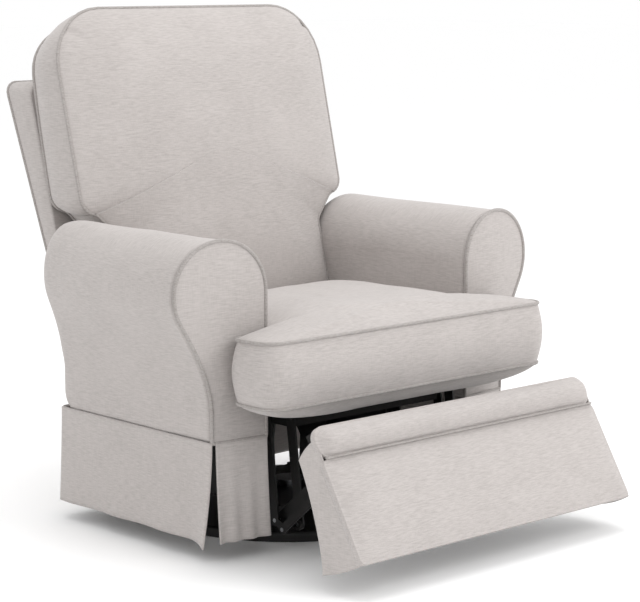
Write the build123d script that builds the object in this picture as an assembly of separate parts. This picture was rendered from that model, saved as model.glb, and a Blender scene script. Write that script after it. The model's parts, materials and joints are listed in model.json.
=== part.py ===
"""Glider nursery chair: a skirted recliner on a swivel glider base.

Row frame in millimetres: origin on the floor at the swivel axis, +Z up, the front faces -Y.
The sitter's left hand is at +X. The chair stands with its footrest a third of the way open.

Stack from the floor up: base disc, ball bearing, turntable with two stands, hanging glide links,
carriage (seat box, arms, skirt), then the back on a recline hinge and the footrest on its linkage.
"""
from math import atan2, cos, degrees, hypot, pi, radians, sin, tan
import os

from build123d import *

os.makedirs("parts", exist_ok=True)

# ---------------------------------------------------------------- driving dimensions
SEAT_WIDTH = 532.0          # clear width between the arms' inner faces
ARM_LENGTH = 485.0          # arm front to arm rear at its inner face
ARM_REAR = 245.0            # arm rear, behind the swivel axis
ARM_HEIGHT = 591.0          # floor to the top of the arm roll
ARM_FOOT = 117.0            # arm thickness at the skirt seam
ROLL_RADIUS = 97.0          # arm roll
ROLL_TANGENT = 30.0         # degrees below the horizontal where the roll runs into the arm's side
ARM_SIDE_BLEND = 90.0       # radius between the slope under the roll and the upright side
ARM_TOE = 7.0               # degrees that each arm front turns outwards
SEAM_HEIGHT = 222.0         # floor to the skirt seam
SKIRT_GAP = 36.0            # floor to the skirt hem
SKIRT_FLARE = 7.0
CLOTH = 4.0                 # lined skirt cloth

COVER_WALL = 10.0           # padding and cover over the arm frame
FACING = 12.0               # padded board on each arm front
BOARD = 16.0                # plywood of the arm frame
REAR_PADDING = 22.0         # extra padding that rounds the rear of each arm over its frame
AIR = 1.0                   # assembly gap between sewn or screwed pieces
SOFT_GAP = 6.0              # gap between a cushion and what it sits beside

CUSHION_FRONT = 360.0       # seat cushion front, ahead of the swivel axis
CUSHION_REACH = 356.0       # half width of the seat cushion's ears
CUSHION_TOP = 462.0
CUSHION_ROUND = 24.0
EAR_ROUND = 45.0
BACK_HEIGHT = 1000.0        # floor to the top of the back cushion
BACK_LEVEL = 610.0          # height at which the three back planes are placed
BACK_FRONT = 211.0          # back cushion front at that height
BACK_CUSHION = 118.0        # its thickness there
BACK_FRAME = 56.0           # depth of the framed back behind it, there
LEAN_FRONT = 14.0           # degrees from the vertical
LEAN_CUSHION = 11.4
LEAN_FRAME = 16.0
LEAN_REAR = 22.0
BACK_REACH = 346.0          # half width of the back cushion
FRAME_REACH = 335.0         # and of the framed back
BACK_ROUND = 115.0          # top corners of the back cushion
BACK_CUSHION_FOOT = 364.0   # floor to the bottom of the back cushion
FRAME_TOP = 845.0           # floor to the top of the framed back
FRAME_ROUND = 50.0
WING_FOOT = 470.0           # floor to the bottom of the framed back's wings
FRAME_FOOT = 300.0
FRAME_INSET = 18.0          # lower framed back inside the lower back cushion, each side
COVER_BACK = 8.0            # wall of the outside back cover
POST = 22.0                 # width of the back's posts
POST_DEPTH = 17.0

DISC_RADIUS = 280.0
DISC_HEIGHT = 20.0
BALL = 4.0                  # radius of the bearing balls
BALL_CIRCLE = 75.0
BALL_COUNT = 24
BALL_AIR = 0.1
RACE_RADIUS = 95.0
RACE_BORE = 34.0
RACE_HEIGHT = 9.0
RACE_SPLIT = 2.0            # gap between the two races
HUB_RADIUS = 20.0
HUB_AIR = 0.5
SHEET = 4.0                 # pressed steel of stands, rails and mechanism plates
LINK = 5.0                  # flat bar of the glide links
PIN = 5.0                   # radius of the glide pins
RUNNING = 0.05              # radial running clearance of the pins
BUSH_WALL = 2.0
PIN_HEAD = 8.0
PIN_HEAD_HEIGHT = 2.0
SIDE_GAP = 4.0              # gap between a stand, a link and a rail

GLIDE_SPAN = 220.0          # front glide pivots to rear glide pivots
GLIDE_LENGTH = 125.0        # glide link, pivot to pivot
GLIDE_TOP = 200.0           # floor to the upper glide pivots
STAND_INNER = 150.0         # inner face of each stand
STAND_MARGIN = 25.0         # plate beyond the pivots
STAND_WINDOW = 100.0

RAIL = 20.0                 # thickness of the wooden seat rails
RAIL_TOP = 272.0
CROSS_BAR = 4.0
CROSS_FRONT_Y = -125.0
CROSS_REAR_Y = 215.0
CROSS_WIDTH = 30.0
BOX_FRONT = 225.0           # seat box front, ahead of the swivel axis
BOX_REAR = 190.0            # seat box rear, behind it
SPRING_WIRE = 1.8
SPRING_COUNT = 5
SPRING_WAVE = 22.0          # half width of a sinuous spring
SPRING_PITCH = 26.0
CLIP_SHEET = 1.5

RECLINE_Y, RECLINE_Z = 215.0, 300.0
HINGE_EAR = 14.0

MECH_INNER = 220.0          # inner face of each footrest mechanism plate
MECH_BAR = 11.0             # half width of the footrest links
MECH_GAP = 2.0              # gap between neighbouring footrest links
MECH_PIN = 4.0
CRANK = 212.0               # footrest crank, pivot to pivot
CRANK_Y, CRANK_Z = -190.0, 262.0
CRANK_SPACING = 50.0        # front crank pivot ahead of the rear one
CRANK_SHUT = -113.8         # degrees above the forward horizontal, footrest shut
FOOT_OPENED = 31.0          # degrees that the modelled pose has opened
STAY_OFFSET = 30.0          # stay pivots from the arm's pivots
STAY_ANGLE = -53.0          # their direction with the footrest shut

FOOT_FACE_Y = -375.0        # footrest face when shut
FOOT_REACH = 358.0          # half width of the footrest
FOOT_ABOVE = 60.0           # padded face above the footrest seam
FOOT_BELOW = 195.0          # and below it
FOOT_PAD = 20.0
FOOT_BOARD = 12.0
FOOT_PIVOT_DEPTH = 60.0     # arm pivot behind the face
FOOT_PIVOT_RISE = 30.0      # and above the seam
FLAP_TOP = 62.0             # depth of the side flap at its top
FLAP_FOOT = 95.0            # and at its hem
FOOT_SEAM = 220.0           # floor to the footrest seam when shut

LEVER_Y, LEVER_Z = -110.0, 482.0
LEVER_LENGTH = 70.0

# ---------------------------------------------------------------- worked out from them
ARM_INNER = SEAT_WIDTH / 2
ARM_FRONT = ARM_REAR - ARM_LENGTH
ARM_OUTER = ARM_INNER + ARM_FOOT
ROLL_X = ARM_INNER + ROLL_RADIUS
ROLL_Z = ARM_HEIGHT - ROLL_RADIUS
RACE_TOP = DISC_HEIGHT + RACE_HEIGHT
UPPER_RACE = RACE_TOP + RACE_SPLIT
FLOOR_PLATE = UPPER_RACE + RACE_HEIGHT
STAND_FOOT = FLOOR_PLATE + SHEET
STAND_OUTER = STAND_INNER + SHEET
LINK_INNER = STAND_OUTER + SIDE_GAP
LINK_OUTER = LINK_INNER + LINK
GLIDE_RAIL = LINK_OUTER + SIDE_GAP
GLIDE_RAIL_OUTER = GLIDE_RAIL + SHEET
GLIDE_Y = GLIDE_SPAN / 2
GLIDE_FOOT = GLIDE_TOP - GLIDE_LENGTH
FLANGE_Z = SEAM_HEIGHT - SHEET
RAIL_FOOT = SEAM_HEIGHT + CROSS_BAR
SIDE_RAIL = GLIDE_RAIL_OUTER + SIDE_GAP
CUSHION_HALF = ARM_INNER - SOFT_GAP
BACK_LOWER = CUSHION_HALF
FRAME_LOWER = BACK_LOWER - FRAME_INSET
HINGE_INNER = FRAME_LOWER + SHEET + MECH_GAP
CUSHION_BOTTOM = RAIL_TOP + 2 * SPRING_WIRE + CLIP_SHEET
APRON_TOP = RECLINE_Z - 42


def save(name, shape):
    """Writes one node."""
    export_step(shape, f"parts/{name}.step")


def group(solids):
    """Separate solids in one node."""
    return Compound(children=list(solids))


def both_sides(name, shape):
    """Writes the +X piece as NAME_left and its mirror image as NAME_right."""
    save(name + "_left", shape)
    save(name + "_right", mirror(shape, about=Plane.YZ))


def with_mirror(shape):
    return [shape, mirror(shape, about=Plane.YZ)]


def pair(name, shape):
    """Writes the +X piece and its mirror image as two solids of one node."""
    save(name, group(with_mirror(shape)))


def block(x0, x1, y0, y1, z0, z1):
    """A box between two corners."""
    return Pos((x0 + x1) / 2, (y0 + y1) / 2, (z0 + z1) / 2) * Box(x1 - x0, y1 - y0, z1 - z0)


def disc(radius, z0, z1, x=0.0, y=0.0):
    """An upright cylinder."""
    return Pos(x, y, (z0 + z1) / 2) * Cylinder(radius, z1 - z0)


def cross_pin(radius, x0, x1, y, z):
    """A cylinder along X."""
    return Pos((x0 + x1) / 2, y, z) * Rot(0, 90, 0) * Cylinder(radius, x1 - x0)


def side_plate(sketch, x0, thickness):
    """A sketch whose axes are Y and Z, as a plate from x0 towards +X."""
    return extrude(Plane.YZ.offset(x0) * sketch, thickness)


def bar(a, b, half_width):
    """A flat bar with round ends between two (y, z) points."""
    dy, dz = b[0] - a[0], b[1] - a[1]
    slot = SlotCenterToCenter(hypot(dy, dz), 2 * half_width, rotation=degrees(atan2(dz, dy)))
    return Pos((a[0] + b[0]) / 2, (a[1] + b[1]) / 2) * slot


def dot(p, radius):
    return Pos(*p) * Circle(radius)


def polygon(points):
    """A closed flat face through the points, on XY."""
    return make_face(Polyline(*points, close=True))


def stepped(p, length, angle):
    """The (y, z) point that lies length from p, angle degrees above the forward direction."""
    return p[0] - length * cos(radians(angle)), p[1] + length * sin(radians(angle))


# ---------------------------------------------------------------- base and swivel bearing
def base():
    rim_round = 6.0
    plate = disc(DISC_RADIUS, 0, DISC_HEIGHT)
    plate = fillet(plate.edges().group_by(Axis.Z)[-1], rim_round)
    save("base_disc", plate)

    ball_z = RACE_TOP + RACE_SPLIT / 2
    groove = Pos(0, 0, ball_z) * Torus(BALL_CIRCLE, BALL + BALL_AIR)
    lower = disc(RACE_RADIUS, DISC_HEIGHT, RACE_TOP) - groove
    save("bearing_lower_race", lower)
    turns = [2 * pi * i / BALL_COUNT for i in range(BALL_COUNT)]
    balls = [Pos(BALL_CIRCLE * cos(a), BALL_CIRCLE * sin(a), ball_z) * Sphere(BALL) for a in turns]
    save("bearing_balls", group(balls))
    upper = disc(RACE_RADIUS, UPPER_RACE, FLOOR_PLATE) - disc(RACE_BORE, UPPER_RACE, FLOOR_PLATE) - groove
    save("bearing_upper_race", upper)

    post_top = STAND_FOOT + 12
    cap = 4.0
    hub = disc(HUB_RADIUS, RACE_TOP, post_top)
    save("swivel_bolt", hub + disc(HUB_RADIUS + 12, post_top, post_top + cap))


# ---------------------------------------------------------------- turntable and glide links
def turntable():
    plate_y = GLIDE_Y + STAND_MARGIN
    floor = block(-STAND_OUTER, STAND_OUTER, -plate_y, plate_y, FLOOR_PLATE, STAND_FOOT)
    save("turntable_plate", floor - disc(HUB_RADIUS + HUB_AIR, FLOOR_PLATE, STAND_FOOT))

    foot_width = 34.0
    ear = PIN_HEAD + 6
    mid_z = (STAND_FOOT + GLIDE_TOP) / 2
    web = polygon([(-plate_y, STAND_FOOT), (plate_y, STAND_FOOT), (GLIDE_Y + ear, GLIDE_TOP + ear),
                   (-GLIDE_Y - ear, GLIDE_TOP + ear)])
    web -= Pos(0, mid_z) * RectangleRounded(STAND_WINDOW, STAND_WINDOW * 0.8, 18)
    for y in (-GLIDE_Y, GLIDE_Y):
        web -= dot((y, GLIDE_TOP), PIN)
    stand = side_plate(web, STAND_INNER, SHEET)
    stand += block(STAND_INNER - foot_width, STAND_INNER, -plate_y, plate_y, STAND_FOOT, STAND_FOOT + SHEET)
    pair("glider_stands", stand)

    pins = []
    head = LINK_OUTER + MECH_GAP / 4
    for y in (-GLIDE_Y, GLIDE_Y):
        pin = cross_pin(PIN, STAND_INNER, LINK_OUTER, y, GLIDE_TOP)
        pin += cross_pin(PIN_HEAD, head, head + PIN_HEAD_HEIGHT, y, GLIDE_TOP)
        pin += cross_pin(PIN, LINK_OUTER, head, y, GLIDE_TOP)
        pins += with_mirror(pin)
    save("glide_upper_pins", group(pins))


def glide_link(y):
    """One hanging link with a bore for a bush at each end."""
    top, foot = (y, GLIDE_TOP), (y, GLIDE_FOOT)
    face = bar(top, foot, PIN_HEAD + 5)
    for p in (top, foot):
        face -= dot(p, PIN + BUSH_WALL)
    return side_plate(face, LINK_INNER, LINK)


def glide_bushes(y):
    ring = [side_plate(dot((y, z), PIN + BUSH_WALL) - dot((y, z), PIN + RUNNING), LINK_INNER, LINK)
            for z in (GLIDE_TOP, GLIDE_FOOT)]
    return group([s for r in ring for s in with_mirror(r)])


def glide_links():
    pair("glide_links_front", glide_link(-GLIDE_Y))
    pair("glide_links_rear", glide_link(GLIDE_Y))
    save("glide_bushes_front", glide_bushes(-GLIDE_Y))
    save("glide_bushes_rear", glide_bushes(GLIDE_Y))


# ---------------------------------------------------------------- carriage steelwork and seat box
def carriage_rails():
    ear = PIN_HEAD + 7
    front_y, rear_y = -GLIDE_Y - 40, CROSS_REAR_Y + CROSS_WIDTH / 2
    web = polygon([(-GLIDE_Y - ear, GLIDE_FOOT - ear), (GLIDE_Y + ear, GLIDE_FOOT - ear), (rear_y, FLANGE_Z),
                   (front_y, FLANGE_Z)])
    for y in (-GLIDE_Y, GLIDE_Y):
        web -= dot((y, GLIDE_FOOT), PIN)
    rail = side_plate(web, GLIDE_RAIL, SHEET)
    rail += block(GLIDE_RAIL, SIDE_RAIL + RAIL, front_y, rear_y, FLANGE_Z, SEAM_HEIGHT)
    pair("glide_rails", rail)

    head_x = LINK_INNER - MECH_GAP / 4
    pins = []
    for y in (-GLIDE_Y, GLIDE_Y):
        pin = cross_pin(PIN, head_x, GLIDE_RAIL_OUTER, y, GLIDE_FOOT)
        pin += cross_pin(PIN_HEAD, head_x - PIN_HEAD_HEIGHT, head_x, y, GLIDE_FOOT)
        pins += with_mirror(pin)
    save("glide_lower_pins", group(pins))

    half = ARM_INNER + COVER_WALL + BOARD
    bars = [block(-half, half, y - CROSS_WIDTH / 2, y + CROSS_WIDTH / 2, SEAM_HEIGHT, RAIL_FOOT)
            for y in (CROSS_FRONT_Y, CROSS_REAR_Y)]
    save("cross_bars", group(bars))


def seat_box():
    half = SIDE_RAIL + RAIL
    side = block(SIDE_RAIL, half, -BOX_FRONT + RAIL, BOX_REAR - RAIL, RAIL_FOOT, RAIL_TOP)
    pair("seat_rails_side", side)
    ends = [block(-half, half, y, y + RAIL, RAIL_FOOT, RAIL_TOP) for y in (-BOX_FRONT, BOX_REAR - RAIL)]
    save("seat_rails_cross", group(ends))

    spring_z = RAIL_TOP + SPRING_WIRE
    length = BOX_REAR + BOX_FRONT - RAIL
    turns = int(length // SPRING_PITCH)
    y0 = -BOX_FRONT + (BOX_REAR + BOX_FRONT - turns * SPRING_PITCH) / 2
    springs = []
    for i in range(SPRING_COUNT):
        x = (i - (SPRING_COUNT - 1) / 2) * (2 * SIDE_RAIL / SPRING_COUNT)
        points = []
        for k in range(turns):
            side = SPRING_WAVE * (1 if k % 2 else -1)
            y = y0 + k * SPRING_PITCH
            points += [(x + side, y, spring_z), (x + side, y + SPRING_PITCH, spring_z)]
        wire = FilletPolyline(*points, radius=SPRING_PITCH * 0.4)
        springs.append(sweep(Plane(wire @ 0, z_dir=wire % 0) * Circle(SPRING_WIRE), path=wire))
    save("seat_springs", group(springs))
    clip = 12.0
    clips = []
    for i in range(SPRING_COUNT):
        x = (i - (SPRING_COUNT - 1) / 2) * (2 * SIDE_RAIL / SPRING_COUNT)
        for y in (-BOX_FRONT + RAIL / 2, BOX_REAR - RAIL / 2):
            z0 = spring_z + SPRING_WIRE
            clips.append(block(x - clip, x + clip, y - clip / 2, y + clip / 2, z0, z0 + CLIP_SHEET))
    save("spring_clips", group(clips))


def hinge_plates():
    """Upright plates on the rear cross bar that carry the recline pins."""
    foot = polygon([(CROSS_REAR_Y - CROSS_WIDTH / 2, RAIL_FOOT), (CROSS_REAR_Y + CROSS_WIDTH / 2, RAIL_FOOT),
                    (RECLINE_Y + HINGE_EAR, RECLINE_Z), (RECLINE_Y - HINGE_EAR, RECLINE_Z)])
    face = foot + dot((RECLINE_Y, RECLINE_Z), HINGE_EAR) - dot((RECLINE_Y, RECLINE_Z), PIN)
    pair("recline_plates", side_plate(face, HINGE_INNER, SHEET))
    pin = cross_pin(PIN, FRAME_LOWER + AIR / 2, HINGE_INNER + SHEET, RECLINE_Y, RECLINE_Z)
    save("recline_pins", group(with_mirror(pin)))


# ---------------------------------------------------------------- arms
def arm_outline(inset):
    """The +X arm's front outline on XZ, as a face on XY: inner side, roll, slope under it, outer side."""
    r = ROLL_RADIUS - inset
    a = radians(ROLL_TANGENT)
    x_in, x_out = ARM_INNER + inset, ARM_OUTER - inset
    leave = (ROLL_X + r * cos(a), ROLL_Z - r * sin(a))
    corner_z = leave[1] - (leave[0] - x_out) / tan(a)
    foot_in, foot_out = (x_in, SEAM_HEIGHT), (x_out, SEAM_HEIGHT)
    start, corner = (x_in, ROLL_Z), (x_out, corner_z)
    edges = [Line(foot_in, start), ThreePointArc(start, (ROLL_X, ROLL_Z + r), leave), Line(leave, corner),
             Line(corner, foot_out), Line(foot_out, foot_in)]
    face = make_face(Curve() + edges)
    knee = face.vertices().sort_by_distance(Vertex(corner[0], corner[1], 0))[0]
    return fillet(knee, ARM_SIDE_BLEND)


def arm_body(inset, y0, y1):
    """The outline carried along Y from y0 to y1."""
    return extrude(Plane.XZ.offset(-y1) * arm_outline(inset), y1 - y0)


def arm_slab(depth0, depth1):
    """Everything from depth0 to depth1 behind the toed arm front."""
    rise = tan(radians(ARM_TOE))
    x0, x1 = ARM_INNER - 50, ROLL_X + ROLL_RADIUS + 50
    front = [(x, ARM_FRONT + (x - ARM_INNER) * rise) for x in (x0, x1)]
    plan = [(x, y + depth0) for x, y in front] + [(x, y + depth1) for x, y in reversed(front)]
    return extrude(polygon(plan), ARM_HEIGHT * 2)


def arms():
    deep = ARM_LENGTH * 2
    start = ARM_FRONT - 60
    both_sides("arm_facing", arm_body(0, start, ARM_REAR) & arm_slab(0, FACING))
    shell = arm_body(0, start, ARM_REAR) & arm_slab(FACING, deep)
    cavity = arm_body(COVER_WALL, start, ARM_REAR - COVER_WALL)
    cavity += block(ARM_INNER + COVER_WALL, ARM_OUTER - COVER_WALL, start, ARM_REAR - COVER_WALL,
                    SEAM_HEIGHT - AIR, SEAM_HEIGHT + AIR)
    shell -= cavity
    for y in (CROSS_FRONT_Y, CROSS_REAR_Y):
        room = CROSS_WIDTH / 2 + AIR
        shell -= block(ARM_INNER - AIR, ARM_INNER + COVER_WALL + AIR, y - room, y + room,
                       SEAM_HEIGHT - AIR, RAIL_FOOT + AIR)
    both_sides("arm_cover", shell)

    fit = COVER_WALL + AIR
    front_board = arm_body(fit, start, ARM_REAR) & arm_slab(FACING + AIR, FACING + AIR + BOARD)
    rear_y = ARM_REAR - fit - BOARD - REAR_PADDING
    rear_board = arm_body(fit, rear_y, rear_y + BOARD)
    slim_x = ROLL_X + ROLL_RADIUS - 2 * REAR_PADDING - fit
    rear_board &= block(0, slim_x, rear_y, rear_y + BOARD, 0, ROLL_Z + ROLL_RADIUS - REAR_PADDING)
    lift = block(0, ROLL_X * 2, start, ARM_REAR, SEAM_HEIGHT - AIR, RAIL_FOOT)
    pair("arm_front_boards", front_board - lift)
    pair("arm_rear_boards", rear_board - lift)
    x0 = ARM_INNER + fit
    rail_front = ARM_FRONT + FACING + AIR + BOARD + (ROLL_X - ARM_INNER) * 2 * tan(radians(ARM_TOE)) + AIR
    pair("arm_inner_rails", block(x0, x0 + BOARD, rail_front, rear_y, RAIL_FOOT, RAIL_FOOT + 90))
    pair("arm_roll_rails", block(ROLL_X - 35, ROLL_X + 35, rail_front, rear_y, ROLL_Z - BOARD, ROLL_Z))


# ---------------------------------------------------------------- skirt
def skirts():
    hem = SKIRT_GAP
    flared = ARM_OUTER + SKIRT_FLARE
    side = make_face(Polyline((ARM_OUTER - CLOTH, SEAM_HEIGHT), (ARM_OUTER, SEAM_HEIGHT),
                              (flared, hem), (flared - CLOTH, hem), close=True))
    corner_y = ARM_FRONT + (ARM_OUTER - ARM_INNER) * tan(radians(ARM_TOE))
    side_front = corner_y + 2 * CLOTH
    side_length = ARM_REAR - 2 * CLOTH - side_front
    both_sides("skirt_side", extrude(Plane.XZ.offset(-ARM_REAR + 2 * CLOTH) * side, side_length))

    rear = polygon([(ARM_REAR - CLOTH, SEAM_HEIGHT), (ARM_REAR, SEAM_HEIGHT), (ARM_REAR + SKIRT_FLARE, hem),
                    (ARM_REAR + SKIRT_FLARE - CLOTH, hem)])
    half = ARM_OUTER - CLOTH - AIR
    save("skirt_rear", side_plate(rear, -half, 2 * half))

    width = ARM_OUTER - ARM_INNER - CLOTH - AIR
    front = polygon([(0, SEAM_HEIGHT), (CLOTH, SEAM_HEIGHT), (CLOTH - SKIRT_FLARE, hem), (-SKIRT_FLARE, hem)])
    piece = Pos(ARM_INNER, ARM_FRONT, 0) * Rot(0, 0, ARM_TOE) * side_plate(front, 0, width)
    pair("skirt_fronts", piece)

    apron = block(-ARM_INNER + AIR, ARM_INNER - AIR, ARM_REAR - 2 * CLOTH, ARM_REAR, SEAM_HEIGHT, APRON_TOP)
    save("rear_apron", apron)


# ---------------------------------------------------------------- seat and back cushions
def seat_cushion():
    rear = BACK_FRONT - (BACK_LEVEL - BACK_CUSHION_FOOT) * tan(radians(LEAN_FRONT)) - SOFT_GAP
    ear_rear = ARM_FRONT - SOFT_GAP
    height = CUSHION_TOP - CUSHION_BOTTOM
    plan = polygon([(-CUSHION_REACH, -CUSHION_FRONT), (CUSHION_REACH, -CUSHION_FRONT),
                    (CUSHION_REACH, ear_rear), (CUSHION_HALF, ear_rear),
                    (CUSHION_HALF, rear), (-CUSHION_HALF, rear),
                    (-CUSHION_HALF, ear_rear), (-CUSHION_REACH, ear_rear)])
    front = plan.vertices().filter_by(lambda v: v.Y < -CUSHION_FRONT + 1)
    plan = fillet(front, EAR_ROUND)
    body = extrude(Pos(0, 0, CUSHION_BOTTOM) * plan, height)
    body = fillet(body.edges().filter_by(Plane.XY), CUSHION_ROUND)
    save("seat_cushion", body)


def lean(y_at_level, angle, z):
    """The Y at height z of a plane that leans back by angle and is placed at BACK_LEVEL."""
    return y_at_level + (z - BACK_LEVEL) * tan(radians(angle))


def leaning_slab(front, front_lean, rear, rear_lean, z0, z1, half_width):
    """A wedge between two leaning planes."""
    side = polygon([(lean(front, front_lean, z0), z0), (lean(rear, rear_lean, z0), z0),
                    (lean(rear, rear_lean, z1), z1), (lean(front, front_lean, z1), z1)])
    return side_plate(side, -half_width, 2 * half_width)


def tee(lower_half, foot, upper_half, shoulder, top, corner):
    """A T seen from the front, between heights, as a deep solid to cut a wedge with."""
    upper = Pos(0, (shoulder + top) / 2) * Rectangle(2 * upper_half, top - shoulder)
    upper = fillet(upper.vertices().group_by(Axis.Y)[-1], corner)
    lower = Pos(0, (foot + shoulder) / 2) * Rectangle(2 * lower_half, shoulder - foot)
    return extrude(Plane.XZ.offset(-900) * (upper + lower), 1300)


def back_cushion():
    wing_foot = ARM_HEIGHT + SOFT_GAP + AIR
    slab = leaning_slab(BACK_FRONT, LEAN_FRONT, BACK_FRONT + BACK_CUSHION, LEAN_CUSHION,
                        BACK_CUSHION_FOOT, BACK_HEIGHT, BACK_REACH)
    # below the level line the cushion's rear follows the framed back, which leans more
    slab &= leaning_slab(BACK_FRONT, LEAN_FRONT, BACK_FRONT + BACK_CUSHION, LEAN_FRAME,
                         BACK_CUSHION_FOOT, BACK_HEIGHT, BACK_REACH)
    outline = tee(BACK_LOWER, BACK_CUSHION_FOOT, BACK_REACH, wing_foot, BACK_HEIGHT, BACK_ROUND)
    save("back_cushion", slab & outline)


def framed_back():
    front = BACK_FRONT + BACK_CUSHION + AIR
    rear = front + BACK_FRAME
    half = FRAME_REACH
    lower = FRAME_LOWER
    outer = leaning_slab(front, LEAN_FRAME, rear, LEAN_REAR, FRAME_FOOT, FRAME_TOP, half)
    outer &= tee(lower, FRAME_FOOT, half, WING_FOOT, FRAME_TOP, FRAME_ROUND)
    w = COVER_BACK
    inner = leaning_slab(front - 80, LEAN_FRAME, rear - w, LEAN_REAR, FRAME_FOOT - 40, FRAME_TOP - w, half)
    inner &= tee(lower - w, FRAME_FOOT - 40, half - w, WING_FOOT + w, FRAME_TOP - w, FRAME_ROUND - w)
    save("outside_back", outer - inner)

    post_rear = rear - w - AIR
    post_front = post_rear - POST_DEPTH
    post_top = FRAME_TOP - w - 40
    post_outer = lower - w - AIR

    def wooden(x0, x1, z0, z1):
        side = polygon([(lean(post_front, LEAN_REAR, z0), z0), (lean(post_rear, LEAN_REAR, z0), z0),
                        (lean(post_rear, LEAN_REAR, z1), z1), (lean(post_front, LEAN_REAR, z1), z1)])
        return side_plate(side, x0, x1 - x0)

    pair("back_posts", wooden(post_outer - POST, post_outer, FRAME_FOOT + AIR, post_top))
    wing_outer = half - w - AIR
    wing_z = WING_FOOT + w + AIR
    wing = wooden(wing_outer - POST, wing_outer, wing_z, post_top)
    wing += wooden(post_outer, wing_outer, wing_z, wing_z + POST)
    pair("back_wings", wing)
    cap = wing_outer - FRAME_ROUND / 3
    save("back_rail_top", wooden(-cap, cap, post_top, post_top + 30))
    rail = post_outer - POST
    save("back_rails", group([wooden(-rail, rail, z, z + 30) for z in (wing_z, FRAME_FOOT + 20)]))

    seat_z = RECLINE_Z + 46
    face = bar((RECLINE_Y, RECLINE_Z), (lean(front, LEAN_FRAME, seat_z) + 12, seat_z), HINGE_EAR - 2)
    face -= dot((RECLINE_Y, RECLINE_Z), PIN + RUNNING)
    pair("recline_brackets", side_plate(face, FRAME_LOWER, SHEET))

    wires = []
    spring_y = post_front - SPRING_WIRE - 0.2
    for z in (wing_z + 95, wing_z + 155, wing_z + 215, wing_z + 275):
        y = lean(spring_y, LEAN_REAR, z)
        wires.append(cross_pin(SPRING_WIRE, -post_outer, post_outer, y, z))
    save("back_spring_wires", group(wires))


# ---------------------------------------------------------------- footrest linkage
def turned(closed_angle):
    """A crank-side direction in the modelled pose, in degrees above the forward horizontal."""
    return closed_angle + FOOT_OPENED


REAR_CRANK = (CRANK_Y, CRANK_Z)
FRONT_CRANK = (CRANK_Y - CRANK_SPACING, CRANK_Z)
ARM_REAR_PIN = stepped(REAR_CRANK, CRANK, turned(CRANK_SHUT))
ARM_FRONT_PIN = stepped(FRONT_CRANK, CRANK, turned(CRANK_SHUT))
STAY_REAR_PIN = stepped(ARM_REAR_PIN, STAY_OFFSET, turned(STAY_ANGLE))
# the footrest pivot when shut, and the crank pin then; the arm keeps its direction as the cranks turn
PIVOT_SHUT = (FOOT_FACE_Y + FOOT_PIVOT_DEPTH, FOOT_SEAM + FOOT_PIVOT_RISE)
PIN_SHUT = stepped(REAR_CRANK, CRANK, CRANK_SHUT)
FOOT_PIVOT = (ARM_REAR_PIN[0] + PIVOT_SHUT[0] - PIN_SHUT[0], ARM_REAR_PIN[1] + PIVOT_SHUT[1] - PIN_SHUT[1])
STAY_PIVOT = stepped(FOOT_PIVOT, STAY_OFFSET, turned(STAY_ANGLE))


def foot_point(depth, drop):
    """The (y, z) of a point depth behind the footrest's face and drop below its seam, as modelled."""
    a = radians(FOOT_OPENED)
    back, down = depth - FOOT_PIVOT_DEPTH, drop + FOOT_PIVOT_RISE
    y = FOOT_PIVOT[0] + back * cos(a) - down * sin(a)
    z = FOOT_PIVOT[1] - back * sin(a) - down * cos(a)
    return y, z


def foot_slab(depth0, depth1, drop0, drop1, x0, x1):
    side = polygon([foot_point(depth0, drop0), foot_point(depth1, drop0), foot_point(depth1, drop1),
                    foot_point(depth0, drop1)])
    return side_plate(side, x0, x1 - x0)


def link_with_bores(face, pivots):
    for p in pivots:
        face -= dot(p, MECH_PIN + RUNNING)
    return face


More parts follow.
